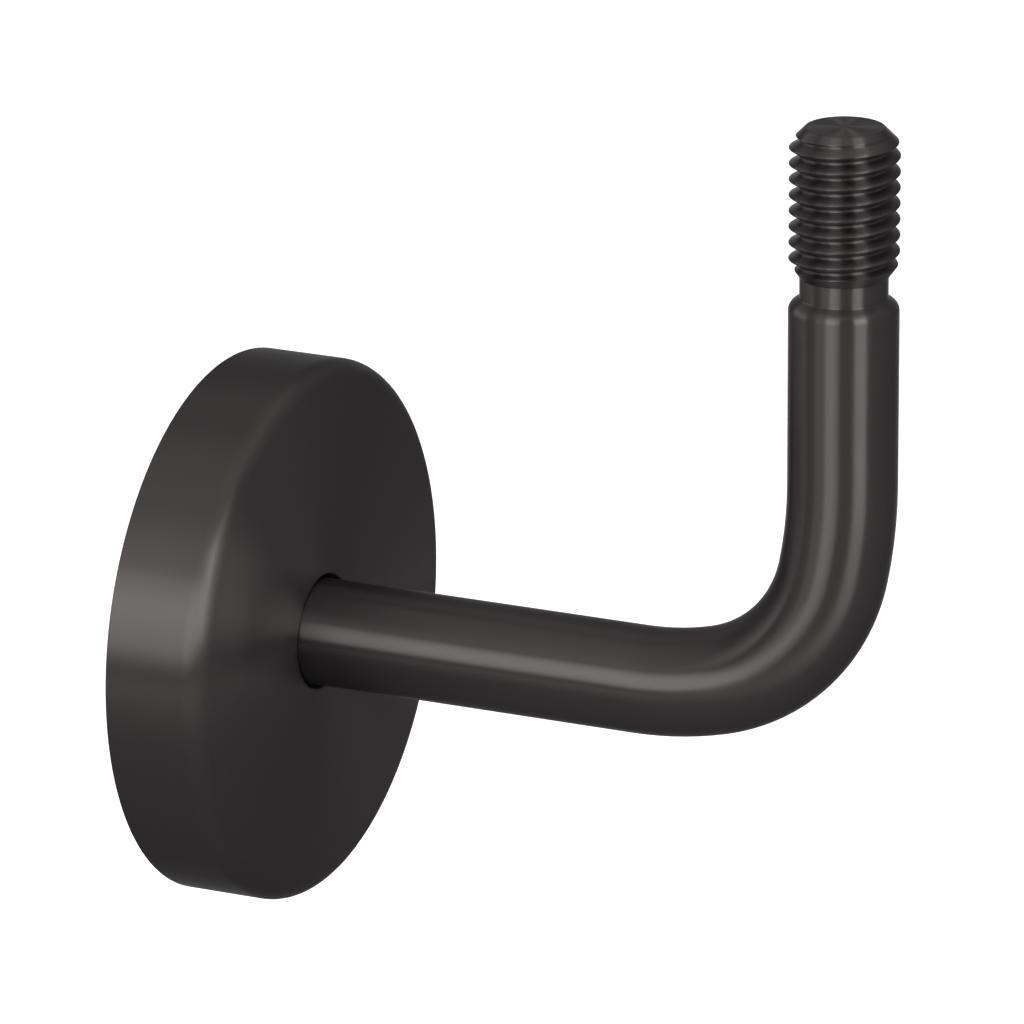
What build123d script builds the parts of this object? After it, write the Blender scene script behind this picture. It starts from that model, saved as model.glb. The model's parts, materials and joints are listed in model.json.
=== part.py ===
from build123d import *
import os
from math import cos, radians, sin

# Wall bracket for a handrail: a round bar bent upwards, on a plate that is screwed to the wall,
# with a pressed cover over the plate. Millimetres. The origin is the middle of the wall face,
# +X points out of the wall along the bar, and +Z points up, along the threaded stud.

# Bar
bar_diameter = 12.0
reach = 74.2                    # wall face to the middle of the upright
stud_height = 65.6              # middle of the level bar to the end of the stud

# Cold bend: tight in the middle, easing into both straights
bend_radius = 18.8
entry_radius = 36.0
entry_angle = 15.0
exit_radius = 50.0
exit_angle = 11.5
bend_angle = 90.0

# Stud for the rail: M12 x 1.75, right-hand, with a thread relief under it
thread_diameter = 12.0
thread_length = 16.6
thread_chamfer = 1.725          # at 45 degrees, on the free end
thread_runout = 1.7             # taper from the last full turn down to the relief
relief_depth = 1.2              # below the thread's crests
relief_length = 2.3
shoulder_rise = 0.8             # bevel from the relief out to the bar
shoulder_rounding = 1.2

# Cover: one pressed cup, open towards the wall
cover_diameter = 61.0
cover_depth = 11.5
cover_wall = 1.2
cover_edge_radius = 2.2
cover_bar_gap = 0.5             # all round the bar, in the cover's hole
cover_plate_gap = 0.2           # all round the plate, inside the cover's skirt
cover_hole_bevel = 0.25

# Mounting plate
plate_thickness = 6.0
plate_bevel = 0.6
wall_screw_count = 3
wall_screw_hole = 6.0
wall_screw_head = 11.6          # across the countersink
wall_screw_inset = 8.1          # hole centre to the edge of the plate

# Joint between bar and plate: a spigot with two flats, drawn tight by one screw from behind
seat_width = 1.5                # ring at the end of the bar that bears on the plate
spigot_length = 1.8
spigot_flat = 0.7               # cut off each side
spigot_gap = 0.1
screw_diameter = 6.0
screw_head_diameter = 12.0
screw_head_recess = 0.2         # below the plate's back, clear of the wall
screw_length = 16.0
screw_socket = 4.0              # across flats
screw_socket_depth = 2.4
screw_hole_gap = 0.2            # around the shank, in the plate
screw_thread_gap = 0.05         # drawn at one diameter, so the threads only meet
tapping_spare = 3.0             # tapped hole beyond the screw's tip
drill_point_angle = 118.0

bar_radius = bar_diameter / 2
plate_diameter = cover_diameter - 2 * cover_wall - 2 * cover_plate_gap
wall_screw_circle = plate_diameter - 2 * wall_screw_inset
spigot_diameter = bar_diameter - 2 * seat_width
screw_head_depth = (screw_head_diameter - screw_diameter) / 2
relief_radius = thread_diameter / 2 - relief_depth
overrun = 1.0                   # how far a cut starts outside what it cuts


def turned_on_x(*points):
    """Solid turned about the bar's level axis, from (distance from the wall, radius) points."""
    return revolve(Plane.XZ * make_face(Polyline(*points, close=True)), Axis.X)


def rod_on_x(radius, start, end):
    """Plain rod along +X."""
    return turned_on_x((start, 0), (end, 0), (end, radius), (start, radius))


def countersunk(hole_radius, head_radius, face, side, through):
    """Countersunk hole at the middle: side is the way out of the sunk face, +1 or -1 along X."""
    sink = head_radius - hole_radius
    return turned_on_x(
        (face + side * overrun, 0),
        (face + side * overrun, head_radius),
        (face, head_radius),
        (face - side * sink, hole_radius),
        (through, hole_radius),
        (through, 0),
    )


def spigot(gap, start, end):
    """Round tongue with two upright flats, gap larger all round."""
    width = spigot_diameter - 2 * spigot_flat + 2 * gap
    height = spigot_diameter + 2 * gap
    middle = Pos((start + end) / 2, 0, 0)
    return rod_on_x(height / 2, start, end) & middle * Box(end - start, width, height)


def cover_rosette():
    """Pressed cup: rounded outside, a narrow bevel in the corner inside, and a hole for the bar."""
    disc = rod_on_x(cover_diameter / 2, 0, cover_depth)
    front_edge = disc.edges().filter_by(GeomType.CIRCLE).sort_by(Axis.X)[-1]
    cup = fillet(front_edge, cover_edge_radius)

    inner_radius = cover_diameter / 2 - cover_wall
    inner_bevel = max(cover_edge_radius - cover_wall, cover_wall / 4)
    face_back = cover_depth - cover_wall
    cup -= turned_on_x(
        (-overrun, 0),
        (-overrun, inner_radius),
        (face_back - inner_bevel, inner_radius),
        (face_back, inner_radius - inner_bevel),
        (face_back, 0),
    )

    hole_radius = bar_radius + cover_bar_gap
    cup -= turned_on_x(
        (face_back - overrun, 0),
        (face_back - overrun, hole_radius),
        (cover_depth - cover_hole_bevel, hole_radius),
        (cover_depth, hole_radius + cover_hole_bevel),
        (cover_depth + overrun, hole_radius + cover_hole_bevel),
        (cover_depth + overrun, 0),
    )
    return cup


def mounting_plate():
    radius = plate_diameter / 2
    plate = turned_on_x(
        (0, 0),
        (0, radius),
        (plate_thickness - plate_bevel, radius),
        (plate_thickness, radius - plate_bevel),
        (plate_thickness, 0),
    )
    wall_hole = countersunk(wall_screw_hole / 2, wall_screw_head / 2, plate_thickness, 1, -overrun)
    for i in range(wall_screw_count):
        turn = Rot(X=360 * i / wall_screw_count)
        plate -= turn * Pos(0, 0, wall_screw_circle / 2) * wall_hole
    plate -= spigot(spigot_gap, plate_thickness - spigot_length - spigot_gap, plate_thickness + overrun)
    plate -= countersunk(
        screw_diameter / 2 + screw_hole_gap,
        screw_head_diameter / 2 + screw_head_recess,
        0,
        -1,
        plate_thickness,
    )
    return plate


def bend():
    """Middle line of the bend, from the level run to the upright, starting at the origin."""
    first = JernArc(start=(0, 0), tangent=(1, 0), radius=entry_radius, arc_size=entry_angle)
    middle_angle = bend_angle - entry_angle - exit_angle
    middle = JernArc(start=first @ 1, tangent=first % 1, radius=bend_radius, arc_size=middle_angle)
    last = JernArc(start=middle @ 1, tangent=middle % 1, radius=exit_radius, arc_size=exit_angle)
    return first, middle, last


def bent_bar(upright_end):
    """Bar of full diameter, from the plate's face round the bend to the shoulder."""
    arcs = bend()
    bend_end = arcs[-1] @ 1
    bend_start = reach - bend_end.X
    level = Line((plate_thickness, 0), (bend_start, 0))
    upright = Line((reach, bend_end.Y), (reach, upright_end))
    moved = [Pos(bend_start, 0, 0) * arc for arc in arcs]
    route = Plane.XZ * Wire([level.edge(), *[arc.edge() for arc in moved], upright.edge()])
    section = Plane(origin=route @ 0, z_dir=route % 0) * Circle(bar_radius)
    return sweep(section, path=route)


def stud(foot):
    """Turned end of the upright, from its foot in the bar to the end of the thread."""
    thread_foot = stud_height - thread_length
    relief_foot = thread_foot - relief_length
    profile = make_face(
        Polyline(
            (0, foot),
            (bar_radius, foot),
            (bar_radius, relief_foot - shoulder_rise),
            (relief_radius, relief_foot),
            (relief_radius, thread_foot),
            (thread_diameter / 2, thread_foot + thread_runout),
            (thread_diameter / 2, stud_height - thread_chamfer),
            (thread_diameter / 2 - thread_chamfer, stud_height),
            (0, stud_height),
            close=True,
        )
    )
    shoulder = profile.vertices().sort_by_distance((bar_radius, relief_foot - shoulder_rise))[0]
    profile = fillet(shoulder, shoulder_rounding)
    return Pos(reach, 0, 0) * revolve(Plane.XZ * profile, Axis.Z)


def tapped_hole():
    """Blind hole in the bar's end for the screw, ending in the drill's cone."""
    radius = screw_diameter / 2 + screw_thread_gap
    bottom = screw_head_recess + screw_length + tapping_spare
    cone = radius * cos(radians(drill_point_angle / 2)) / sin(radians(drill_point_angle / 2))
    return turned_on_x((0, 0), (0, radius), (bottom, radius), (bottom + cone, 0))


def arm():
    """One bar: spigot, level run, bend, upright, relief and threaded stud."""
    shoulder_foot = stud_height - thread_length - relief_length - shoulder_rise
    turned_from = shoulder_foot - 2 * shoulder_rounding
    bar = bent_bar(turned_from) + stud(turned_from)
    bar += spigot(0, plate_thickness - spigot_length, plate_thickness)
    return bar - tapped_hole()


def arm_screw():
    """Countersunk screw with a hexagon socket, in from the plate's back."""
    head_face = screw_head_recess
    tip = head_face + screw_length
    tip_bevel = screw_diameter / 12
    screw = turned_on_x(
        (head_face, 0),
        (head_face, screw_head_diameter / 2),
        (head_face + screw_head_depth, screw_diameter / 2),
        (tip - tip_bevel, screw_diameter / 2),
        (tip, screw_diameter / 2 - tip_bevel),
        (tip, 0),
    )
    hexagon = Plane.YZ * RegularPolygon(screw_socket / 2, 6, major_radius=False)
    socket = extrude(hexagon, screw_socket_depth + overrun)
    return screw - Pos(head_face - overrun, 0, 0) * socket


nodes = {
    "cover_rosette": cover_rosette(),
    "mounting_plate": mounting_plate(),
    "arm": arm(),
    "arm_screw": arm_screw(),
}

os.makedirs("parts", exist_ok=True)
for name, solid in nodes.items():
    export_step(solid, f"parts/{name}.step")
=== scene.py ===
"""Handrail bracket: a round bar bent upwards to a threaded stud, and a round cover over its wall plate.

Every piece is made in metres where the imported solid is, with a finish that follows the lathe's or the
brush's lines round it. The sizes start from the solids and can be changed in the sidebar.
"""
import json
from math import atan2, ceil, cos, hypot, pi, radians, sin, tan

import bmesh
import bpy
from bpy.props import FloatProperty, FloatVectorProperty, IntProperty, PointerProperty
from mathutils import Matrix, Vector


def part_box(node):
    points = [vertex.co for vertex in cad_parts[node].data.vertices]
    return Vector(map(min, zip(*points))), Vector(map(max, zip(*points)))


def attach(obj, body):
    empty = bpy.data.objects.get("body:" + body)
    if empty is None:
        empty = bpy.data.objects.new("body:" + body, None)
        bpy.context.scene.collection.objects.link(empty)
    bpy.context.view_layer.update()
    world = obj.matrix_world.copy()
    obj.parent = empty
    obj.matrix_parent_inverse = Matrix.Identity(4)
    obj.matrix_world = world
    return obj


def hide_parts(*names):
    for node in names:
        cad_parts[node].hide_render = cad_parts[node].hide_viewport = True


bl_info = {
    "name": "Handrail Bracket",
    "version": (1, 0, 0),
    "blender": (4, 5, 0),
    "location": "3D View > Sidebar > Bracket",
    "description": "Builds a wall bracket for a handrail with its cover, bent bar, stud, plate and screw",
    "category": "Add Mesh",
}

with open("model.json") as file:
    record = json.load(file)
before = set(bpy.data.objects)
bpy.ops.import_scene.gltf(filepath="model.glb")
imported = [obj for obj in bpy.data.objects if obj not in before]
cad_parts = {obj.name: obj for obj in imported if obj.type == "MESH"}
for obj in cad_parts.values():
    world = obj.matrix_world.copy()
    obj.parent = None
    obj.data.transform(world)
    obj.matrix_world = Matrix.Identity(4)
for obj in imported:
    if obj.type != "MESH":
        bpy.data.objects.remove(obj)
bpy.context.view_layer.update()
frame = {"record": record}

mm = 0.001
GRAIN_MAP = "grain"         # U runs along the profile in millimetres, V once round the piece
SHARP = radians(30)         # an edge that turns more than this is shaded sharp
ARC_STEP = radians(11)      # turn of one face in a rounded corner
CRISP = 0.04 * mm           # width of the face beside a rounded corner that keeps flats flat
WELD = CRISP / 20           # points nearer than this are one point
ROUTE_STEP = 2 * mm         # between two rings on the bar's straights
BEND_STEP = radians(2.5)    # turn between two rings in its bend
DRILL_POINT = radians(118)  # point angle of the drill for the tapped hole
SPIGOT = 0.75               # radius of the bar's spigot, in radii of the bar
ISO_FLANK = radians(30)     # flank of a metric thread, from the cross-section's upright
ISO_DEPTH = 0.6134          # depth of a metric screw's thread, in pitches
STUD_CREST = 1 / 16         # rounding of the stud's crests, in pitches
SCREW_CREST = 1 / 10        # rounding of the screw's crests, in pitches
THREAD_ROOT = 1 / 10        # rounding of both threads' roots, in pitches
NOISE_LOW, NOISE_HIGH = 0.3, 0.7    # nearly all of a noise texture lies between these
QUARTER_TURN = 0.25         # as the Principled BSDF counts its anisotropic rotation
CLOUD_POLISH = 0.05         # how far the clouds change the roughness, either way

# Grain: the numbers of the group Turned Grain, and how far it changes the metal that it is on
SATIN = {"Lines per mm": 9.0, "Line Length": 0.5, "Cloud Size": 9.0,
         "Tone": 0.02, "Cloud Tone": 0.03, "Polish": 0.05, "Relief": 0.0004 * mm}
CUT = {"Lines per mm": 6.0, "Line Length": 0.8, "Cloud Size": 4.0,
       "Tone": 0.03, "Cloud Tone": 0.05, "Polish": 0.08, "Relief": 0.0003 * mm}
TURNED = {"Lines per mm": 4.0, "Line Length": 0.35, "Cloud Size": 11.0,
          "Tone": 0.06, "Cloud Tone": 0.06, "Polish": 0.15, "Relief": 0.002 * mm}
PLATED = {"Lines per mm": 2.0, "Line Length": 1.0, "Cloud Size": 3.0,
          "Tone": 0.04, "Cloud Tone": 0.06, "Polish": 0.1, "Relief": 0.001 * mm}

# Softboxes as the object sees them: name, left and right azimuth, low and high elevation, and radiance
SOFTBOXES = (
    ("left_softbox", -13, 14.7, 0.7, 32.8, 9.0),
    ("low_left_softbox", -36, 4.7, -5, 24, 3.0),
    ("far_left_softbox", -105.6, -58, 5, 23, 5.3),
    ("right_softbox", 46.5, 72, 1, 37.5, 11.6),
    ("high_right_softbox", 70, 83, 29.5, 43.6, 5.7),
    ("top_softbox", -72, 21, 34, 90, 1.0),
    ("back_softbox", 65, 180, 45, 90, 0.8),
)
STAGE_CENTRE = Vector((40 * mm, 0, 10 * mm))

_, cover_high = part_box("cover_rosette")
_, plate_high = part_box("mounting_plate")
arm_low, arm_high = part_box("arm")
screw_low, screw_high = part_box("arm_screw")
mounts = {mount["name"]: mount for mount in frame["record"]["mounts"]}
wall_pattern = mounts["wall_screws"]["dims"]


def length(name, description, default):
    """Size that the user may change, in metres."""
    return FloatProperty(
        name=name, description=description, default=default,
        min=0, precision=5, unit="LENGTH", subtype="DISTANCE",
    )


def turn(name, description, degrees):
    """Angle that the user may change."""
    return FloatProperty(
        name=name, description=description, default=radians(degrees), unit="ROTATION", subtype="ANGLE"
    )


def colour(name, description, default):
    """Colour that the user may change."""
    return FloatVectorProperty(
        name=name, description=description, default=default, size=3, min=0, max=1, subtype="COLOR"
    )


def share(name, description, default):
    """Plain number from 0 to 1."""
    return FloatProperty(name=name, description=description, default=default, min=0, max=1, subtype="FACTOR")


def count(name, description, default):
    return IntProperty(name=name, description=description, default=default, min=3)


class BarSizes(bpy.types.PropertyGroup):
    radius: length("Radius", "Half the bar's diameter", arm_high.y)
    reach: length("Reach", "Wall face to the middle of the upright", arm_high.x - arm_high.y)
    bend_radius: length("Bend", "Middle of the bend, on the bar's middle line", 18.8 * mm)
    entry_radius: length("Entry", "Where the bend leaves the level run", 36 * mm)
    exit_radius: length("Exit", "Where the bend runs out into the upright", 50 * mm)
    entry_angle: turn("Entry angle", "Turn that the entry takes", 15)
    exit_angle: turn("Exit angle", "Turn that the exit takes", 11.5)
    hole_radius: length("Tapped hole", "Radius of the hole in the wall end", 3.05 * mm)
    hole_spare: length("Spare depth", "Tapped hole beyond the screw's tip", 3 * mm)
    hole_bevel: length("Hole bevel", "Bevel at the mouth of the tapped hole", 0.32 * mm)
    around: count("Faces around", "Faces once round the bar and the stud", 144)


class StudSizes(bpy.types.PropertyGroup):
    top: length("Top", "Bar axis to the end of the stud", arm_high.z)
    thread_length: length("Thread", "Length of the thread with its bevels", 16.6 * mm)
    pitch: length("Pitch", "Rise of the thread in one turn", 1.75 * mm)
    end_bevel: length("End bevel", "Bevel at the free end, at 45 degrees", 1.725 * mm)
    end_rounding: length("End rounding", "Rounding of the end face", 0.3 * mm)
    run_out: length("Run-out", "Taper from the last full turn to the relief", 1.7 * mm)
    relief_depth: length("Relief depth", "Below the thread's crests", 1.2 * mm)
    relief_length: length("Relief length", "Between the thread and the shoulder", 2.3 * mm)
    shoulder_rise: length("Shoulder", "Height of the bevel out to the bar", 0.8 * mm)
    shoulder_rounding: length("Shoulder rounding", "Between the bevel and the bar", 1.2 * mm)
    start: turn("Start", "Where round the stud the thread starts", 135)
    rows: count("Rows", "Rows of faces in one turn of the thread", 20)


class CoverSizes(bpy.types.PropertyGroup):
    radius: length("Radius", "Half the cover's diameter", cover_high.z)
    depth: length("Depth", "Wall to the cover's face", cover_high.x)
    wall: length("Wall", "Thickness of the sheet", 1.2 * mm)
    edge_radius: length("Edge", "Rounding between side and face", 2.2 * mm)
    rim_rounding: length("Rim rounding", "Both edges of the rim on the wall", 0.2 * mm)
    bar_gap: length("Gap", "Between the bar and the cover's hole", 0.5 * mm)
    hole_bevel: length("Hole rounding", "Front edge of the hole", 0.25 * mm)
    around: count("Faces around", "Faces once round the cover", 288)


class PlateSizes(bpy.types.PropertyGroup):
    radius: length("Radius", "Half the plate's diameter", plate_high.z)
    thickness: length("Thickness", "Wall to the seat of the bar", plate_high.x)
    edge_bevel: length("Edge bevel", "Front edge", 0.6 * mm)
    circle_radius: length("Hole circle", "Plate's middle to a wall screw", wall_pattern["pcd_mm"] / 2 * mm)
    hole_radius: length("Hole", "Radius of a wall screw's hole", wall_pattern["hole_r_mm"] * mm)
    head_radius: length("Countersink", "Radius of the countersink at the front", 5.8 * mm)
    holes: count("Holes", "Wall screws", wall_pattern["count"])
    spigot_radius: length("Spigot hole", "Radius of the seat for the bar's spigot", 4.6 * mm)
    spigot_width: length("Spigot flats", "Half the distance between the seat's flats", 3.9 * mm)
    spigot_depth: length("Spigot depth", "Depth of that seat", 1.9 * mm)
    shank_radius: length("Shank hole", "Radius of the hole for the arm's screw", 3.2 * mm)
    sink_radius: length("Back countersink", "Radius of the countersink at the back", 6.2 * mm)
    broken_edge: length("Broken edge", "Rounding of edges that are only deburred", 0.12 * mm)
    around: count("Faces around", "Faces once round the plate", 192)
    hole_around: count("Faces round a hole", "Faces once round each hole", 72)


class ScrewSizes(bpy.types.PropertyGroup):
    recess: length("Recess", "Wall face to the screw's head", screw_low.x)
    tip: length("Tip", "Wall face to the screw's tip", screw_high.x)
    head_radius: length("Head", "Radius of the head", screw_high.z)
    shank_radius: length("Thread", "Radius over the thread's crests", 3 * mm)
    pitch: length("Pitch", "Rise of the thread in one turn", 1 * mm)
    neck_length: length("Neck", "Plain stretch under the head", 1.6 * mm)
    socket: length("Socket", "Across the flats of the hexagon", 4 * mm)
    socket_depth: length("Socket depth", "Depth of the hexagon", 2.4 * mm)
    socket_point: length("Socket point", "Depth of the cone under the hexagon", 0.5 * mm)
    edge_rounding: length("Edge rounding", "Rounding of the head's and the socket's edges", 0.15 * mm)
    around: count("Faces around", "Faces once round the screw", 96)
    rows: count("Rows", "Rows of faces in one turn of the thread", 12)


class Finishes(bpy.types.PropertyGroup):
    dark_steel: colour("Dark steel", "Coating of bar and cover", (0.0376, 0.0343, 0.0343))
    cover_gloss: share("Cover roughness", "Roughness of the coating on the cover", 0.38)
    bar_gloss: share("Bar roughness", "Roughness of the coating on the bar", 0.34)
    stud_gloss: share("Stud roughness", "Roughness of the coating on the stud", 0.34)
    # Painted highlight: width of the lighter band on the cover's round edge.
    edge_wear: length("Edge highlight", "Width of the painted highlight on the cover's round edge", 1.2 * mm)
    plain_steel: colour("Plain steel", "Turned plate", (0.3, 0.295, 0.285))
    plate_gloss: share("Plate roughness", "Roughness of the plate", 0.42)
    zinc: colour("Zinc", "Plating of the screw", (0.4, 0.41, 0.425))
    zinc_gloss: share("Zinc roughness", "Roughness of the plating", 0.32)


class StageSettings(bpy.types.PropertyGroup):
    floor: length("Floor", "Height of the floor under the bar's axis", 220 * mm)
    floor_colour: colour("Floor colour", "Pale floor", (0.52, 0.52, 0.52))
    ambient: share("Ambient", "What the surroundings add to the floor's light", 0.4)
    half_width: length("Half width", "Middle of the floor to its edge", 20)
    whiteness: share("Whiteness", "What the camera sees of the floor besides its light", 0.8)
    glow: share("Far floor", "What the floor's far part adds to its own reflection", 0.5)
    glow_start: length("Far floor from", "Where that part begins to fade in", 300 * mm)
    glow_end: length("Far floor fully from", "Where that part is at its full strength", 900 * mm)


class BracketSettings(bpy.types.PropertyGroup):
    bar: PointerProperty(type=BarSizes)
    stud: PointerProperty(type=StudSizes)
    cover: PointerProperty(type=CoverSizes)
    plate: PointerProperty(type=PlateSizes)
    screw: PointerProperty(type=ScrewSizes)
    finish: PointerProperty(type=Finishes)
    stage: PointerProperty(type=StageSettings)


# Outlines

def rounded_outline(corners):
    """Points of an open outline from (along, out, rounding) corners, with an arc in each rounded one."""
    points = [Vector(corners[0][:2])]
    for before, here, after in zip(corners, corners[1:], corners[2:]):
        corner = Vector(here[:2])
        into = (corner - Vector(before[:2])).normalized()
        out_of = (Vector(after[:2]) - corner).normalized()
        bend = atan2(into.x * out_of.y - into.y * out_of.x, into.dot(out_of))
        if here[2] == 0 or bend == 0:
            points.append(corner)
            continue
        cut = here[2] * tan(abs(bend) / 2)
        start = corner - into * cut
        side = 1 if bend > 0 else -1
        centre = start + side * here[2] * Vector((-into.y, into.x))
        steps = max(2, ceil(abs(bend) / ARC_STEP))
        points.append(start - into * CRISP)
        for step in range(steps + 1):
            points.append(centre + Matrix.Rotation(bend * step / steps, 2) @ (start - centre))
        points.append(corner + out_of * (cut + CRISP))
    points.append(Vector(corners[-1][:2]))
    return points


def round_section(radius, angle):
    return radius


def hexagon(radius, angle):
    """Distance to the side of a hexagon whose flats are radius from the middle."""
    sixth = pi / 3
    return radius / cos((angle + sixth / 2) % sixth - sixth / 2)


def with_flats(half_width):
    """Circle cut by two upright flats."""
    def section(radius, angle):
        return min(radius, half_width / max(abs(sin(angle)), half_width / radius))
    return section


def ring(middle, heading, radius, faces, section=round_section):
    """Ring of points across a line that runs at heading, from +X towards +Z; one point without a radius."""
    if radius == 0:
        return [Vector(middle)]
    up = Vector((-sin(heading), 0, cos(heading)))
    aside = Vector((0, -1, 0))
    points = []
    for face in range(faces):
        angle = 2 * pi * face / faces
        points.append(Vector(middle) + section(radius, angle) * (up * cos(angle) + aside * sin(angle)))
    return points


def turned_on_x(outline, faces, centre=(0, 0), section=round_section):
    """Rings of a piece turned about a level axis through centre (y, z)."""
    return [ring((along, *centre), 0, radius, faces, section) for along, radius in outline]


def turned_on_z(outline, faces, reach):
    """Rings of a piece turned about the upright's axis."""
    return [ring((reach, 0, along), pi / 2, radius, faces) for along, radius in outline]


# Meshes

def add_skin(mesh, rings):
    """Faces from each ring to the next, with the grain map: U along in millimetres, V once round."""
    grain = mesh.loops.layers.uv.get(GRAIN_MAP) or mesh.loops.layers.uv.new(GRAIN_MAP)
    rows = [[mesh.verts.new(point) for point in points] for points in rings]
    along = 0
    for lower, upper, low_ring, high_ring in zip(rows, rows[1:], rings, rings[1:]):
        low_middle = sum(low_ring, Vector()) / len(low_ring)
        high_middle = sum(high_ring, Vector()) / len(high_ring)
        spread = (high_ring[0] - high_middle).length - (low_ring[0] - low_middle).length
        farther = along + hypot((high_middle - low_middle).length, spread) / mm
        faces = max(len(lower), len(upper))
        for face in range(faces):
            following = (face + 1) % faces
            here, there = face / faces, (face + 1) / faces
            near = [(lower[face], along, here), (lower[following], along, there)] if len(lower) > 1 else []
            far = [(upper[following], farther, there), (upper[face], farther, here)] if len(upper) > 1 else []
            corners = (near or [(lower[0], along, here)]) + (far or [(upper[0], farther, here)])
            made = mesh.faces.new([corner[0] for corner in corners])
            for loop, corner in zip(made.loops, corners):
                loop[grain].uv = corner[1:]
        along = farther


def add_flat(mesh, rings):
    """Flat face with holes: the first ring is its outside, the others are the holes."""
    edges = []
    for points in rings:
        verts = [mesh.verts.new(point) for point in points]
        edges += [mesh.edges.new((a, b)) for a, b in zip(verts, verts[1:] + verts[:1])]
    bmesh.ops.triangle_fill(mesh, edges=edges, use_beauty=True, use_dissolve=False)


def finished(name, mesh, material, closed=True):
    """Object with this mesh, joined up, shaded smooth but for its sharp edges, with faces outwards."""
    bmesh.ops.remove_doubles(mesh, verts=mesh.verts, dist=WELD)
    if closed:
        bmesh.ops.recalc_face_normals(mesh, faces=mesh.faces)
    data = bpy.data.meshes.new(name)
    mesh.to_mesh(data)
    mesh.free()
    data.shade_smooth()
    data.set_sharp_from_angle(angle=SHARP)
    data.materials.append(material)
    piece = bpy.data.objects.new(name, data)
    bpy.context.collection.objects.link(piece)
    return piece


# Node trees

def add_node(tree, kind, inputs=None, **settings):
    """Node with its settings; an input is a value or another node's output."""
    made = tree.nodes.new(kind)
    for name, value in settings.items():
        setattr(made, name, value)
    for name, value in (inputs or {}).items():
        if isinstance(value, bpy.types.NodeSocket):
            tree.links.new(value, made.inputs[name])
        else:
            made.inputs[name].default_value = value
    return made


def add_maths(tree, operation, *values):
    """Output of a Math node."""
    return add_node(tree, "ShaderNodeMath", dict(enumerate(values)), operation=operation).outputs[0]


def add_length(tree, vector):
    """Length of a vector."""
    return add_node(tree, "ShaderNodeVectorMath", {0: vector}, operation="LENGTH").outputs["Value"]


def add_fade(tree, value, start, end, low=0.0, high=1.0, kind="SMOOTHSTEP"):
    """Change from low where the value is start to high where it is end."""
    return add_node(tree, "ShaderNodeMapRange", {
        "Value": value, "From Min": start, "From Max": end, "To Min": low, "To Max": high,
    }, interpolation_type=kind).outputs[0]


def add_noise(tree, place, scale, detail, roughness):
    """Value of a noise texture."""
    return add_node(tree, "ShaderNodeTexNoise", {
        "Vector": place, "Scale": scale, "Detail": detail, "Roughness": roughness,
    }).outputs[0]


def add_range(tree, value, low, high):
    """Noise spread from low to high."""
    return add_fade(tree, value, NOISE_LOW, NOISE_HIGH, low, high, "LINEAR")


def add_sockets(tree, direction, sockets):
    """Named sockets of a group, from {name: (kind, default)}."""
    for name, (kind, default) in sockets.items():
        socket = tree.interface.new_socket(name, in_out=direction, socket_type="NodeSocket" + kind)
        if default is not None:
            socket.default_value = default


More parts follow.
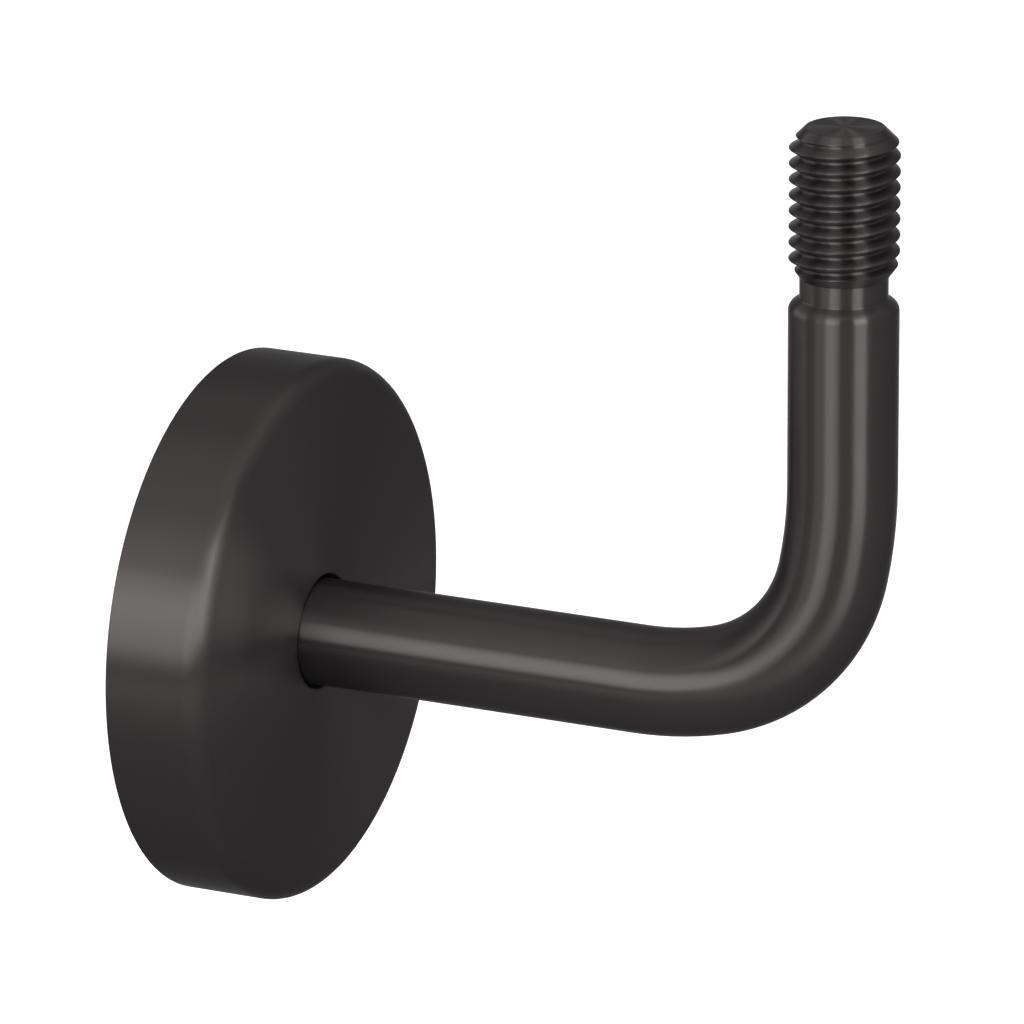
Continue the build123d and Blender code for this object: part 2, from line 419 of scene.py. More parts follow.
def thread_tree():
    """Geometry Nodes: a screw thread along local Z, joined to the turned mesh that it is given."""
    tree = bpy.data.node_groups.new("Screw Thread", "GeometryNodeTree")
    add_sockets(tree, "INPUT", {
        "Geometry": ("Geometry", None),
        "Crest Radius": ("Float", 6 * mm),
        "Pitch": ("Float", 1.75 * mm),
        "Foot": ("Float", 0.0),
        "Top": ("Float", 16 * mm),
        "Foot Radius": ("Float", 4.8 * mm),
        "Top Radius": ("Float", 4.8 * mm),
        "Run-out": ("Float", 1.7 * mm),
        "Start": ("Float", 0.0),
        "Crest Rounding": ("Float", 0.22 * mm),
        "Root Rounding": ("Float", 0.1 * mm),
        "Faces Around": ("Int", 144),
        "Rows per Turn": ("Int", 20),
        "Place": ("Vector", (0, 0, 0)),
        "Rotation": ("Vector", (0, 0, 0)),
        "Material": ("Material", None),
        "Material Above": ("Float", -1.0),
    })
    add_sockets(tree, "OUTPUT", {"Geometry": ("Geometry", None)})
    given = add_node(tree, "NodeGroupInput").outputs
    radius, pitch, foot, top = given["Crest Radius"], given["Pitch"], given["Foot"], given["Top"]

    def maths(operation, *values):
        return add_maths(tree, operation, *values)

    # Each row of points climbs a pitch in one turn, and its end meets a later row's start.
    turns = maths("ADD", maths("CEIL", maths("DIVIDE", maths("SUBTRACT", top, foot), pitch)), 1.0)
    steps = maths("MULTIPLY", turns, given["Rows per Turn"])
    grid = add_node(tree, "GeometryNodeMeshGrid", {
        "Size X": 1.0,
        "Size Y": 1.0,
        "Vertices X": maths("ADD", given["Faces Around"], 1.0),
        "Vertices Y": maths("ADD", steps, 1.0),
    })
    spot = add_node(tree, "GeometryNodeInputPosition").outputs[0]
    place = add_node(tree, "ShaderNodeSeparateXYZ", {0: spot}).outputs
    around = maths("ADD", place["X"], 0.5)
    row = maths("MULTIPLY", maths("ADD", place["Y"], 0.5), steps)
    climbed = maths("SUBTRACT", maths("ADD", maths("DIVIDE", row, given["Rows per Turn"]), around), 1.0)
    height = maths("MAXIMUM", maths("MINIMUM", maths("MULTIPLY_ADD", climbed, pitch, foot), top), foot)

    phase = maths("SUBTRACT", maths("DIVIDE", maths("SUBTRACT", height, foot), pitch), around)
    started = maths("FRACT", maths("ADD", phase, given["Start"]))
    beside = maths("MULTIPLY", maths("ABSOLUTE", maths("SUBTRACT", started, 0.5)), pitch)
    rounded = maths("MINIMUM", beside, maths("DIVIDE", given["Crest Rounding"], tan(ISO_FLANK)))
    crest = maths("DIVIDE", maths("POWER", rounded, 2.0), maths("MULTIPLY", given["Crest Rounding"], 2.0))
    flank = maths("DIVIDE", maths("SUBTRACT", beside, rounded), tan(ISO_FLANK))
    sunk = maths("SMOOTH_MIN", maths("ADD", crest, flank), maths("MULTIPLY", pitch, ISO_DEPTH),
                 given["Root Rounding"])
    threaded = maths("SUBTRACT", radius, sunk)
    top_bevel = maths("ADD", given["Top Radius"], maths("SUBTRACT", top, height))
    slope = maths("DIVIDE", maths("SUBTRACT", radius, given["Foot Radius"]), given["Run-out"])
    foot_taper = maths("MULTIPLY_ADD", maths("SUBTRACT", height, foot), slope, given["Foot Radius"])
    out = maths("MINIMUM", maths("MINIMUM", threaded, radius), maths("MINIMUM", top_bevel, foot_taper))

    angle = maths("MULTIPLY", around, 2 * pi)
    backwards = maths("MULTIPLY", out, -1.0)
    point = add_node(tree, "ShaderNodeCombineXYZ", {
        "X": maths("MULTIPLY", backwards, maths("COSINE", angle)),
        "Y": maths("MULTIPLY", backwards, maths("SINE", angle)),
        "Z": height,
    })
    lines = add_node(tree, "ShaderNodeCombineXYZ", {"X": maths("DIVIDE", height, mm), "Y": around})
    mapped = add_node(tree, "GeometryNodeStoreNamedAttribute", {
        "Geometry": grid.outputs["Mesh"],
        "Name": GRAIN_MAP,
        "Value": lines.outputs[0],
    }, data_type="FLOAT2", domain="CORNER")
    wound = add_node(tree, "GeometryNodeSetPosition", {
        "Geometry": mapped.outputs[0],
        "Position": point.outputs[0],
    })
    placed = add_node(tree, "GeometryNodeTransform", {
        "Geometry": wound.outputs[0],
        "Translation": given["Place"],
        "Rotation": given["Rotation"],
    })
    joined = add_node(tree, "GeometryNodeJoinGeometry")
    tree.links.new(given["Geometry"], joined.inputs[0])
    tree.links.new(placed.outputs[0], joined.inputs[0])
    merged = add_node(tree, "GeometryNodeMergeByDistance", {"Geometry": joined.outputs[0], "Distance": WELD})
    whole = add_node(tree, "GeometryNodeRealizeInstances", {"Geometry": merged.outputs[0]})
    coated = add_node(tree, "GeometryNodeSetMaterial", {
        "Geometry": whole.outputs[0],
        "Selection": maths("GREATER_THAN", place["Z"], given["Material Above"]),
        "Material": given["Material"],
    })
    result = add_node(tree, "NodeGroupOutput")
    tree.links.new(coated.outputs[0], result.inputs[0])
    return tree


def cut_thread(piece, values):
    """Runs the thread's tree on a piece and keeps the result as its plain mesh."""
    tree = bpy.data.node_groups.get("Screw Thread") or thread_tree()
    modifier = piece.modifiers.new("Thread", "NODES")
    modifier.node_group = tree
    for item in tree.interface.items_tree:
        if item.in_out == "INPUT" and item.name in values:
            modifier[item.identifier] = values[item.name]
    evaluated = piece.evaluated_get(bpy.context.evaluated_depsgraph_get())
    data = bpy.data.meshes.new_from_object(evaluated)
    piece.modifiers.remove(modifier)
    for slot in reversed(range(len(data.materials))):
        if data.materials[slot] is None:
            data.materials.pop(index=slot)
    old = piece.data
    piece.data = data
    bpy.data.meshes.remove(old)
    data.name = piece.name
    data.shade_smooth()
    data.set_sharp_from_angle(angle=SHARP)


def grain_group():
    """Shader group: fine lines that run round a turned piece, and slow clouds in its finish."""
    tree = bpy.data.node_groups.get("Turned Grain")
    if tree:
        return tree
    tree = bpy.data.node_groups.new("Turned Grain", "ShaderNodeTree")
    add_sockets(tree, "INPUT", {
        "Along": ("Float", 0.0),
        "Around": ("Float", 0.0),
        "Lines per mm": ("Float", 9.0),
        "Line Length": ("Float", 0.6),
        "Cloud Size": ("Float", 7.0),
    })
    add_sockets(tree, "OUTPUT", {"Lines": ("Float", None), "Clouds": ("Float", None)})
    given = add_node(tree, "NodeGroupInput").outputs
    angle = add_maths(tree, "MULTIPLY", given["Around"], 2 * pi)
    side = add_maths(tree, "COSINE", angle)
    depth = add_maths(tree, "SINE", angle)
    per_line = add_maths(tree, "DIVIDE", 1.0, given["Line Length"])
    fine = add_node(tree, "ShaderNodeCombineXYZ", {
        "X": add_maths(tree, "MULTIPLY", given["Along"], given["Lines per mm"]),
        "Y": add_maths(tree, "MULTIPLY", side, per_line),
        "Z": add_maths(tree, "MULTIPLY", depth, per_line),
    })
    slow = add_node(tree, "ShaderNodeCombineXYZ", {
        "X": add_maths(tree, "DIVIDE", given["Along"], given["Cloud Size"]),
        "Y": side,
        "Z": depth,
    })
    lines = add_noise(tree, fine.outputs[0], scale=1.0, detail=3.0, roughness=0.7)
    clouds = add_noise(tree, slow.outputs[0], scale=1.0, detail=2.0, roughness=0.5)
    result = add_node(tree, "NodeGroupOutput")
    tree.links.new(lines, result.inputs["Lines"])
    tree.links.new(clouds, result.inputs["Clouds"])
    return tree


def painted_edge_highlight_group():
    """Shader group: a broken band along a round edge about the X axis that fades in towards the top, for a
    painted highlight.
    """
    tree = bpy.data.node_groups.get("Painted Edge Highlight")
    if tree:
        return tree
    tree = bpy.data.node_groups.new("Painted Edge Highlight", "ShaderNodeTree")
    add_sockets(tree, "INPUT", {
        "Place": ("Vector", (0, 0, 0)),
        "Edge Along": ("Float", 0.0),
        "Edge Radius": ("Float", 0.0),
        "Width": ("Float", 1 * mm),
        "No Highlight Below": ("Float", -1.0),
        "Full Highlight Above": ("Float", 1.0),
        "Break-up": ("Float", 400.0),
    })
    add_sockets(tree, "OUTPUT", {"Highlight Band": ("Float", None)})
    given = add_node(tree, "NodeGroupInput").outputs
    parts = add_node(tree, "ShaderNodeSeparateXYZ", {0: given["Place"]}).outputs
    radial = add_node(tree, "ShaderNodeCombineXYZ", {"Y": parts["Y"], "Z": parts["Z"]})
    out = add_length(tree, radial.outputs[0])
    beside = add_node(tree, "ShaderNodeCombineXYZ", {
        "X": add_maths(tree, "SUBTRACT", parts["X"], given["Edge Along"]),
        "Y": add_maths(tree, "SUBTRACT", out, given["Edge Radius"]),
    })
    patches = add_noise(tree, given["Place"], given["Break-up"], detail=3.0, roughness=0.6)
    reach = add_maths(tree, "MULTIPLY", given["Width"], add_maths(tree, "ADD", patches, 0.5))
    highlight_band = add_fade(tree, add_length(tree, beside.outputs[0]), 0.0, reach, low=1.0, high=0.0)
    # Painted highlight: the band fades in towards the top.
    towards_top = add_fade(tree, parts["Z"], given["No Highlight Below"], given["Full Highlight Above"])
    result = add_node(tree, "NodeGroupOutput")
    tree.links.new(add_maths(tree, "MULTIPLY", highlight_band, towards_top), result.inputs["Highlight Band"])
    return tree


def metal(name, base, roughness, grain, spread=1.0, edge=0.5, turned_about_x=False, painted_highlight=None):
    """Turned metal: spread is how far its lines smear a highlight, edge darkens it at grazing angles.

    The last argument gives the place, width and strength of a painted highlight along an edge round the X
    axis: lighter colour there, and a smoother finish.
    """
    material = bpy.data.materials.get(name)
    if material:
        return material
    material = bpy.data.materials.new(name)
    material.use_nodes = True
    tree = material.node_tree
    tree.nodes.clear()
    group = add_node(tree, "ShaderNodeGroup", node_tree=grain_group())
    if turned_about_x:
        place = add_node(tree, "ShaderNodeTexCoord").outputs["Object"]
        parts = add_node(tree, "ShaderNodeSeparateXYZ", {0: place}).outputs
        radial = add_node(tree, "ShaderNodeCombineXYZ", {"Y": parts["Y"], "Z": parts["Z"]})
        out = add_length(tree, radial.outputs[0])
        along = add_maths(tree, "DIVIDE", add_maths(tree, "ADD", out, parts["X"]), mm)
        around = add_maths(tree, "DIVIDE", add_maths(tree, "ARCTAN2", parts["Y"], parts["Z"]), 2 * pi)
        tangent = add_node(tree, "ShaderNodeTangent", direction_type="RADIAL", axis="X")
    else:
        place = add_node(tree, "ShaderNodeUVMap", uv_map=GRAIN_MAP).outputs[0]
        parts = add_node(tree, "ShaderNodeSeparateXYZ", {0: place}).outputs
        along, around = parts["X"], parts["Y"]
        tangent = add_node(tree, "ShaderNodeTangent", direction_type="UV_MAP", uv_map=GRAIN_MAP)
    tree.links.new(along, group.inputs["Along"])
    tree.links.new(around, group.inputs["Around"])
    for socket in ("Lines per mm", "Line Length", "Cloud Size"):
        group.inputs[socket].default_value = grain[socket]
    lines, clouds = group.outputs["Lines"], group.outputs["Clouds"]

    tone = add_maths(tree, "MULTIPLY",
                     add_range(tree, lines, 1 - grain["Tone"], 1 + grain["Tone"]),
                     add_range(tree, clouds, 1 - grain["Cloud Tone"], 1 + grain["Cloud Tone"]))
    rough = add_maths(tree, "MULTIPLY",
                      add_range(tree, lines, 1 - grain["Polish"], 1 + grain["Polish"]),
                      add_range(tree, clouds, roughness * (1 - CLOUD_POLISH), roughness * (1 + CLOUD_POLISH)))
    if painted_highlight:
        spot = add_node(tree, "ShaderNodeTexCoord").outputs["Object"]
        highlight_mask = add_node(tree, "ShaderNodeGroup", {"Place": spot}, node_tree=painted_edge_highlight_group())
        for socket in ("Edge Along", "Edge Radius", "Width", "No Highlight Below", "Full Highlight Above"):
            highlight_mask.inputs[socket].default_value = painted_highlight[socket]
        highlight_band = highlight_mask.outputs["Highlight Band"]
        # Painted highlight: the colour is made lighter along the edge band.
        highlight_tone = add_maths(tree, "MULTIPLY_ADD", highlight_band, painted_highlight["Tone"], 1.0)
        smoother = add_maths(tree, "MULTIPLY_ADD", highlight_band, -painted_highlight["Polish"], 1.0)
        tone = add_maths(tree, "MULTIPLY", tone, highlight_tone)
        rough = add_maths(tree, "MULTIPLY", rough, smoother)
    tint = add_node(tree, "ShaderNodeVectorMath", {0: base, "Scale": tone}, operation="SCALE")
    bump = add_node(tree, "ShaderNodeBump", {"Height": lines, "Strength": 1.0, "Distance": grain["Relief"]})
    shader = add_node(tree, "ShaderNodeBsdfPrincipled", {
        "Base Color": tint.outputs[0],
        "Roughness": rough,
        "Metallic": 1.0,
        "Anisotropic": spread,
        "Anisotropic Rotation": QUARTER_TURN if turned_about_x else 0.0,
        "Specular Tint": (edge, edge, edge, 1),
        "Normal": bump.outputs[0],
        "Tangent": tangent.outputs[0],
    })
    surface = add_node(tree, "ShaderNodeOutputMaterial")
    tree.links.new(shader.outputs[0], surface.inputs["Surface"])
    return material


def dark_cover(finish, cover):
    """Anthracite coating on the cover's brushed sheet, with a painted highlight along its round edge: lighter
    and smoother there, fading in towards the top.
    """
    edge_turn = radians(50)
    # Painted highlight on the round edge, fading in from the axis height to 20 mm above it.
    painted_highlight = {
        "Edge Along": cover.depth - cover.edge_radius * (1 - sin(edge_turn)),
        "Edge Radius": cover.radius - cover.edge_radius * (1 - cos(edge_turn)),
        "Width": finish.edge_wear,
        "No Highlight Below": 0.0,
        "Full Highlight Above": 20 * mm,
        "Tone": 0.03,
        "Polish": 0.2,
    }
    return metal("anthracite_sheet", finish.dark_steel, finish.cover_gloss, SATIN, painted_highlight=painted_highlight)


def dark_bar(finish):
    """Anthracite coating on the finely turned bar."""
    return metal("anthracite_bar", finish.dark_steel, finish.bar_gloss, SATIN)


def dark_stud(finish):
    """Anthracite coating on the cut thread and its relief, whose lines are coarser than the bar's."""
    return metal("anthracite_stud", finish.dark_steel, finish.stud_gloss, CUT)


def plain_steel(finish):
    """Uncoated plate with the lathe's rings."""
    return metal("turned_plate", finish.plain_steel, finish.plate_gloss, TURNED,
                 spread=0.8, edge=0.8, turned_about_x=True)


def zinc_plating(finish):
    """Bright plating over a cold-headed screw."""
    return metal("zinc_plating", finish.zinc, finish.zinc_gloss, PLATED,
                 spread=0.3, edge=0.9, turned_about_x=True)


# Pieces

def pressed_cover(settings):
    """Cup of sheet metal: rim on the wall, straight side, rounded edge, flat face and hole."""
    cover, bar = settings.cover, settings.bar
    face_back = cover.depth - cover.wall
    inner_radius = cover.radius - cover.wall
    inner_edge = cover.edge_radius - cover.wall
    hole_radius = bar.radius + cover.bar_gap
    soft = cover.rim_rounding
    outline = rounded_outline([
        (cover.depth - cover.wall / 2, hole_radius, 0),
        (cover.depth, hole_radius, cover.hole_bevel),
        (cover.depth, cover.radius, cover.edge_radius),
        (0, cover.radius, soft),
        (0, inner_radius, soft),
        (face_back, inner_radius, inner_edge),
        (face_back, hole_radius, soft / 2),
        (cover.depth - cover.wall / 2, hole_radius, 0),
    ])
    mesh = bmesh.new()
    add_skin(mesh, turned_on_x(outline, cover.around))
    return finished("pressed_cover", mesh, dark_cover(settings.finish, cover))


def bar_route(bar, start, end):
    """(x, z, heading) along the bar's middle line from x = start, round the bend, up to z = end."""
    middle_angle = pi / 2 - bar.entry_angle - bar.exit_angle
    arcs = [
        (bar.entry_radius, bar.entry_angle),
        (bar.bend_radius, middle_angle),
        (bar.exit_radius, bar.exit_angle),
    ]
    heading = 0
    across = 0
    for radius, angle in arcs:
        across += radius * (sin(heading + angle) - sin(heading))
        heading += angle
    x, z, heading = bar.reach - across, 0, 0
    parts = ceil((x - start) / ROUTE_STEP)
    route = [(start + (x - start) * part / parts, 0, 0) for part in range(parts)]
    for radius, angle in arcs:
        parts = ceil(angle / BEND_STEP)
        for part in range(parts):
            turned = heading + angle * part / parts
            route.append((
                x + radius * (sin(turned) - sin(heading)),
                z + radius * (cos(heading) - cos(turned)),
                turned,
            ))
        x += radius * (sin(heading + angle) - sin(heading))
        z += radius * (cos(heading) - cos(heading + angle))
        heading += angle
    parts = ceil((end - z) / ROUTE_STEP)
    route += [(bar.reach, z + (end - z) * part / parts, pi / 2) for part in range(parts + 1)]
    return route


def bent_bar(settings):
    """One bar: tapped spigot, level run, bend, upright, shoulder, relief and threaded stud."""
    bar, stud, plate, screw = settings.bar, settings.stud, settings.plate, settings.screw
    spigot_start = arm_low.x
    hole_end = screw.tip + bar.hole_spare
    drill_point = bar.hole_radius / tan(DRILL_POINT / 2)
    spigot_radius = bar.radius * SPIGOT
    spigot_gap = plate.spigot_radius - spigot_radius
    flats = with_flats(plate.spigot_width - spigot_gap)
    rings = turned_on_x([
        (hole_end + drill_point, 0),
        (hole_end, bar.hole_radius),
        (spigot_start + bar.hole_bevel, bar.hole_radius),
        (spigot_start, bar.hole_radius + bar.hole_bevel),
    ], bar.around)
    spigot = [(spigot_start, spigot_radius), (plate.thickness, spigot_radius)]
    rings += turned_on_x(spigot, bar.around, section=flats)
    seat_edge = plate.broken_edge
    rings.append(ring((plate.thickness, 0, 0), 0, bar.radius - seat_edge, bar.around))

    thread_foot = stud.top - stud.thread_length
    relief_foot = thread_foot - stud.relief_length
    relief_radius = bar.radius - stud.relief_depth
    corner_rounding = stud.shoulder_rounding / 6
    turned = rounded_outline([
        (relief_foot - stud.shoulder_rise - 2 * stud.shoulder_rounding, bar.radius, 0),
        (relief_foot - stud.shoulder_rise, bar.radius, stud.shoulder_rounding),
        (relief_foot, relief_radius, corner_rounding),
        (thread_foot, relief_radius, 0),
    ])
    for x, z, heading in bar_route(bar, plate.thickness + seat_edge, turned[0][0]):
        rings.append(ring((x, 0, z), heading, bar.radius, bar.around))
    rings += turned_on_z(turned[1:], bar.around, bar.reach)
    mesh = bmesh.new()
    add_skin(mesh, rings)

    end_radius = bar.radius - stud.end_bevel
    end_face = rounded_outline([
        (stud.top - 2 * stud.end_rounding, end_radius + 2 * stud.end_rounding, 0),
        (stud.top, end_radius, stud.end_rounding),
        (stud.top, 0, 0),
    ])
    add_skin(mesh, turned_on_z(end_face, bar.around, bar.reach))
    piece = finished("bent_bar", mesh, dark_bar(settings.finish), closed=False)
    cut_thread(piece, {
        "Crest Radius": bar.radius,
        "Pitch": stud.pitch,
        "Foot": thread_foot,
        "Top": end_face[0][0],
        "Foot Radius": relief_radius,
        "Top Radius": end_face[0][1],
        "Run-out": stud.run_out,
        "Start": stud.start / (2 * pi),
        "Crest Rounding": stud.pitch * STUD_CREST,
        "Root Rounding": stud.pitch * THREAD_ROOT,
        "Faces Around": bar.around,
        "Rows per Turn": stud.rows,
        "Place": (bar.reach, 0, 0),
        "Material": dark_stud(settings.finish),
        "Material Above": relief_foot - stud.shoulder_rise,
    })
    return piece


def wall_plate(settings):
    """Turned plate with countersunk holes for the wall screws and a seat for the bar's spigot."""
    plate = settings.plate
    soft = plate.broken_edge
    beside = 3 * soft               # from an edge to where the flat's own faces begin
    back, front = 0, plate.thickness
    mesh = bmesh.new()

    rim = rounded_outline([
        (back, plate.radius - beside, 0),
        (back, plate.radius, soft),
        (front - plate.edge_bevel, plate.radius, soft),
        (front, plate.radius - plate.edge_bevel, soft),
        (front, plate.radius - plate.edge_bevel - beside, 0),
    ])
    add_skin(mesh, turned_on_x(rim, plate.around))
    back_loops = [ring((back, 0, 0), 0, rim[0][1], plate.around)]
    front_loops = [ring((front, 0, 0), 0, rim[-1][1], plate.around)]

    sink = plate.head_radius - plate.hole_radius
    hole = rounded_outline([
        (front, plate.head_radius + beside, 0),
        (front, plate.head_radius, soft),
        (front - sink, plate.hole_radius, soft),
        (back, plate.hole_radius, soft),
        (back, plate.hole_radius + beside, 0),
    ])
    for number in range(plate.holes):
        angle = 2 * pi * number / plate.holes
        centre = (-plate.circle_radius * sin(angle), plate.circle_radius * cos(angle))
        add_skin(mesh, turned_on_x(hole, plate.hole_around, centre))
        front_loops.append(ring((front, *centre), 0, hole[0][1], plate.hole_around))
        back_loops.append(ring((back, *centre), 0, hole[-1][1], plate.hole_around))

    flats = with_flats(plate.spigot_width)
    floor = front - plate.spigot_depth
    seat = [(front, plate.spigot_radius), (floor, plate.spigot_radius)]
    seat = turned_on_x(seat, plate.hole_around, section=flats)
    deep = plate.sink_radius - plate.shank_radius
    bore = rounded_outline([
        (floor, plate.shank_radius + beside, 0),
        (floor, plate.shank_radius, soft),
        (deep, plate.shank_radius, soft),
        (back, plate.sink_radius, soft),
        (back, plate.sink_radius + beside, 0),
    ])
    add_skin(mesh, seat + turned_on_x(bore, plate.hole_around))
    front_loops.append(seat[0])
    back_loops.append(ring((back, 0, 0), 0, bore[-1][1], plate.hole_around))
    add_flat(mesh, front_loops)
    add_flat(mesh, back_loops)
    return finished("wall_plate", mesh, plain_steel(settings.finish))


def countersunk_screw(settings):
    """Countersunk screw with a hexagon socket and its own thread."""
    screw = settings.screw
    around = screw.around
    soft = screw.edge_rounding
    head_depth = screw.head_radius - screw.shank_radius
    under_head = screw.recess + head_depth
    half_socket = screw.socket / 2
    socket_end = screw.recess + screw.socket_depth
    neck_radius = screw.shank_radius - screw.pitch * ISO_DEPTH
    thread_foot = under_head + screw.neck_length

    socket = turned_on_x([
        (socket_end + screw.socket_point, 0),
        (socket_end, half_socket),
        (screw.recess + soft, half_socket),
        (screw.recess, half_socket + soft),
    ], around, section=hexagon)
    head = rounded_outline([
        (screw.recess, screw.head_radius - 3 * soft, 0),
        (screw.recess, screw.head_radius, soft),
        (under_head, screw.shank_radius, 2 * soft),
        (under_head + 2 * soft, neck_radius, 0),
        (thread_foot, neck_radius, 0),
    ])
    mesh = bmesh.new()
    add_skin(mesh, socket + turned_on_x(head, around))
    tip_radius = neck_radius - 3 * soft
    tip = rounded_outline([
        (screw.tip - 2 * soft, tip_radius + 2 * soft, 0),
        (screw.tip, tip_radius, soft),
        (screw.tip, 0, 0),
    ])
    add_skin(mesh, turned_on_x(tip, around))
    plating = zinc_plating(settings.finish)
    piece = finished("countersunk_screw", mesh, plating, closed=False)
    cut_thread(piece, {
        "Crest Radius": screw.shank_radius,
        "Pitch": screw.pitch,
        "Foot": thread_foot,
        "Top": tip[0][0],
        "Foot Radius": neck_radius,
        "Top Radius": tip[0][1],
        "Run-out": screw.pitch,
        "Crest Rounding": screw.pitch * SCREW_CREST,
        "Root Rounding": screw.pitch * THREAD_ROOT,
        "Faces Around": around,
        "Rows per Turn": screw.rows,
        "Rotation": (0, pi / 2, 0),
        "Material": plating,
    })
    return piece


# Stage

def direction(azimuth, elevation):
    """From the object towards a light or camera: azimuth 0 is from -Y, 90 from +X."""
    return Vector((
        sin(azimuth) * cos(elevation),
        -cos(azimuth) * cos(elevation),
        sin(elevation),
    ))


def softbox(name, left, right, low, high, radiance, distance=1.4):
    """Rectangular lamp that covers these angles as the object sees it, in degrees."""
    azimuth, elevation = radians((left + right) / 2), radians((low + high) / 2)
    width = 2 * distance * tan(radians(right - left) / 2) * cos(elevation)
    height = 2 * distance * tan(radians(high - low) / 2)
    lamp = bpy.data.lights.new(name, "AREA")
    lamp.shape = "RECTANGLE"
    lamp.size, lamp.size_y = width, height
    lamp.energy = radiance * pi * width * height
    holder = bpy.data.objects.new(name, lamp)
    bpy.context.collection.objects.link(holder)
    towards = direction(azimuth, elevation)
    holder.location = towards * distance + STAGE_CENTRE
    holder.rotation_euler = towards.to_track_quat("Z", "Y").to_euler()


def camera_view():
    """Camera at the photograph's viewing angle."""
    azimuth, elevation, roll = radians(25.42), radians(18.14), radians(-0.294)
    distance = 996.4 * mm
    aim_right, aim_up = 31.35 * mm, 11.81 * mm
    back = direction(azimuth, elevation)
    level = Vector((cos(azimuth), sin(azimuth), 0))
    upright = back.cross(level)
    right = cos(roll) * level + sin(roll) * upright
    up = cos(roll) * upright - sin(roll) * level
    camera = bpy.data.objects.new("camera", bpy.data.cameras.new("camera"))
    bpy.context.collection.objects.link(camera)
    camera.data.sensor_width = 36
    camera.data.lens = 312.79
    camera.data.clip_start = 10 * mm
    turn_to = Matrix((right, up, back)).transposed()
    place = right * aim_right + up * aim_up + back * distance
    camera.matrix_world = Matrix.Translation(place) @ turn_to.to_4x4()
    bpy.context.scene.camera = camera


def seen_directly(tree):
    """1 for rays from the camera, from gloss and through glass, else 0."""
    rays = add_node(tree, "ShaderNodeLightPath").outputs
    seen = add_maths(tree, "MAXIMUM", rays["Is Camera Ray"], rays["Is Glossy Ray"])
    return add_maths(tree, "MAXIMUM", seen, rays["Is Transmission Ray"])


def surroundings(stage):
    """White where it is seen or mirrored, and dimmer as a light on the floor."""
    world = bpy.data.worlds.new("studio")
    world.use_nodes = True
    tree = world.node_tree
    tree.nodes.clear()
    strength = add_maths(tree, "MULTIPLY_ADD", seen_directly(tree), 1 - stage.ambient, stage.ambient)
    light = add_node(tree, "ShaderNodeBackground", {"Color": (1, 1, 1, 1), "Strength": strength})
    out = add_node(tree, "ShaderNodeOutputWorld")
    tree.links.new(light.outputs[0], out.inputs["Surface"])
    bpy.context.scene.world = world


def pale_floor(stage):
    """Large plain floor, white to the camera and clear from below, that keeps the object's shadow."""
    mesh = bmesh.new()
    bmesh.ops.create_grid(mesh, x_segments=1, y_segments=1, size=stage.half_width)
    bmesh.ops.translate(mesh, verts=mesh.verts, vec=(0, 0, -stage.floor))
    data = bpy.data.meshes.new("floor")
    mesh.to_mesh(data)
    mesh.free()
    material = bpy.data.materials.new("pale_floor")
    material.use_nodes = True
    tree = material.node_tree
    tree.nodes.clear()
    lit = add_node(tree, "ShaderNodeBsdfDiffuse", {"Color": (*stage.floor_colour, 1)})
    rays = add_node(tree, "ShaderNodeLightPath").outputs
    away = add_length(tree, add_node(tree, "ShaderNodeTexCoord").outputs["Object"])
    far_glow = add_fade(tree, away, stage.glow_start, stage.glow_end, high=stage.glow)
    white = add_maths(tree, "MAXIMUM", rays["Is Camera Ray"], rays["Is Transmission Ray"])
    mirrored = add_maths(tree, "MULTIPLY", rays["Is Glossy Ray"], far_glow)
    glow = add_node(tree, "ShaderNodeEmission", {
        "Strength": add_maths(tree, "MULTIPLY_ADD", white, stage.whiteness, mirrored),
    })
    both = add_node(tree, "ShaderNodeAddShader", {0: lit.outputs[0], 1: glow.outputs[0]})
    underside = add_node(tree, "ShaderNodeNewGeometry").outputs["Backfacing"]
    below = add_maths(tree, "MULTIPLY", underside, white)
    clear = add_node(tree, "ShaderNodeBsdfTransparent")
    one_way = add_node(tree, "ShaderNodeMixShader", {0: below, 1: both.outputs[0], 2: clear.outputs[0]})
    surface = add_node(tree, "ShaderNodeOutputMaterial")
    tree.links.new(one_way.outputs[0], surface.inputs["Surface"])
    data.materials.append(material)
    floor = bpy.data.objects.new("floor", data)
    bpy.context.collection.objects.link(floor)


# Operators

class AddCover(bpy.types.Operator):
    """Add the pressed cover in place of its solid"""
    bl_idname = "bracket.add_cover"
    bl_label = "Cover"

    def execute(self, context):
        piece = pressed_cover(context.scene.bracket)
        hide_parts("cover_rosette")
        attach(piece, "cover")
        return {"FINISHED"}


class AddBar(bpy.types.Operator):
    """Add the bent bar with its threaded stud in place of its solid"""
    bl_idname = "bracket.add_bar"
    bl_label = "Bar and stud"

    def execute(self, context):
        piece = bent_bar(context.scene.bracket)
        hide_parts("arm")
        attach(piece, "bracket")
        return {"FINISHED"}


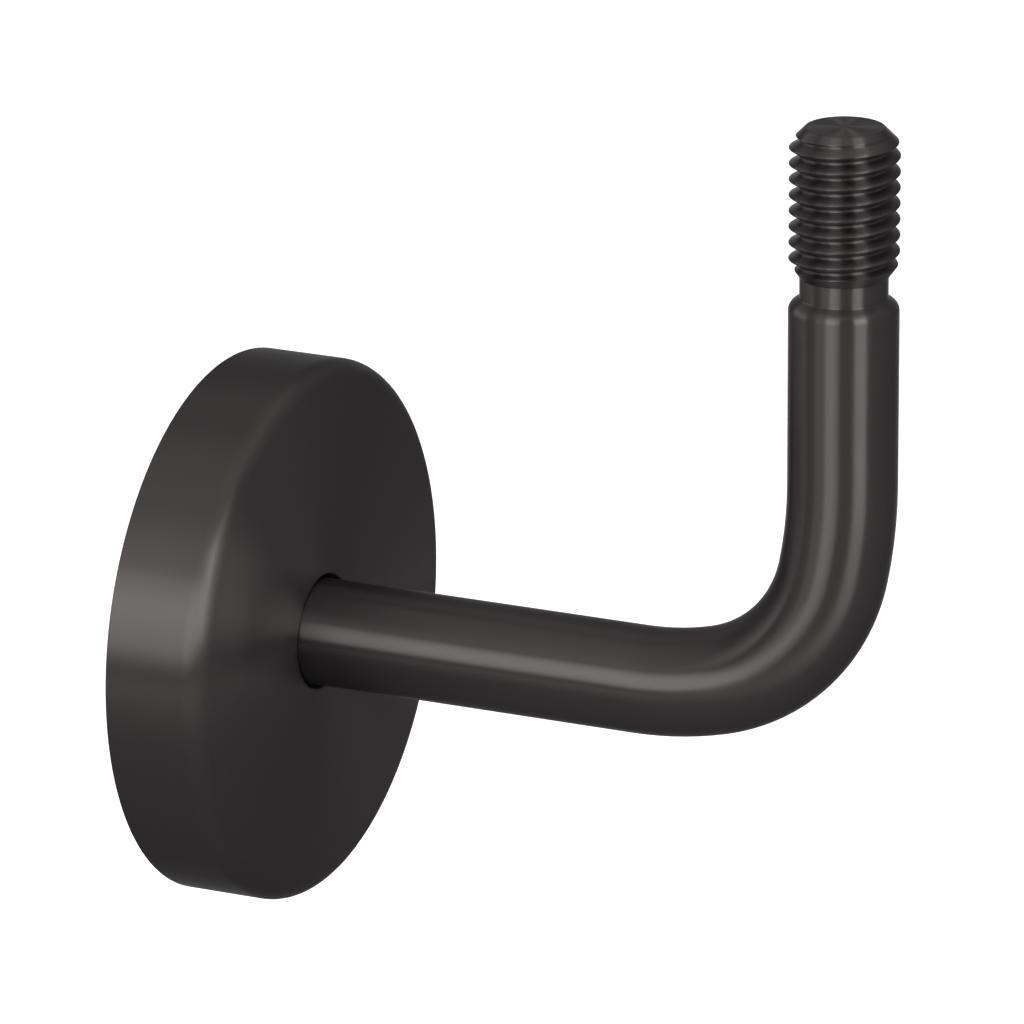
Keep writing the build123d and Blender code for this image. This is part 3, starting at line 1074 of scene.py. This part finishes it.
class AddPlate(bpy.types.Operator):
    """Add the wall plate in place of its solid"""
    bl_idname = "bracket.add_plate"
    bl_label = "Wall plate"

    def execute(self, context):
        piece = wall_plate(context.scene.bracket)
        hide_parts("mounting_plate")
        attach(piece, "bracket")
        return {"FINISHED"}


class AddScrew(bpy.types.Operator):
    """Add the screw that holds the bar on the plate in place of its solid"""
    bl_idname = "bracket.add_screw"
    bl_label = "Screw"

    def execute(self, context):
        piece = countersunk_screw(context.scene.bracket)
        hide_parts("arm_screw")
        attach(piece, "bracket")
        return {"FINISHED"}


class AddStage(bpy.types.Operator):
    """Add the floor, the surroundings, the lamps and the camera"""
    bl_idname = "bracket.add_stage"
    bl_label = "Stage"

    def execute(self, context):
        stage = context.scene.bracket.stage
        context.scene.view_settings.view_transform = "Standard"
        pale_floor(stage)
        surroundings(stage)
        for box in SOFTBOXES:
            softbox(*box)
        camera_view()
        return {"FINISHED"}


class BracketPanel(bpy.types.Panel):
    """Buttons and sizes of the bracket"""
    bl_idname = "VIEW3D_PT_bracket"
    bl_label = "Handrail Bracket"
    bl_space_type = "VIEW_3D"
    bl_region_type = "UI"
    bl_category = "Bracket"

    def draw(self, context):
        for operator in OPERATORS:
            self.layout.operator(operator.bl_idname)
        settings = context.scene.bracket
        for group in BracketSettings.__annotations__:
            box = self.layout.box()
            box.label(text=group.capitalize())
            values = getattr(settings, group)
            for value in type(values).__annotations__:
                box.prop(values, value)


GROUPS = (BarSizes, StudSizes, CoverSizes, PlateSizes, ScrewSizes, Finishes, StageSettings, BracketSettings)
OPERATORS = (AddStage, AddCover, AddBar, AddPlate, AddScrew)


def register():
    for kind in (*GROUPS, *OPERATORS, BracketPanel):
        bpy.utils.register_class(kind)
    bpy.types.Scene.bracket = PointerProperty(type=BracketSettings)


def unregister():
    del bpy.types.Scene.bracket
    for kind in reversed((*GROUPS, *OPERATORS, BracketPanel)):
        bpy.utils.unregister_class(kind)


def main():
    register()
    bpy.ops.bracket.add_stage()
    bpy.ops.bracket.add_cover()
    bpy.ops.bracket.add_bar()
    bpy.ops.bracket.add_plate()
    bpy.ops.bracket.add_screw()


if __name__ == "__main__":
    main()
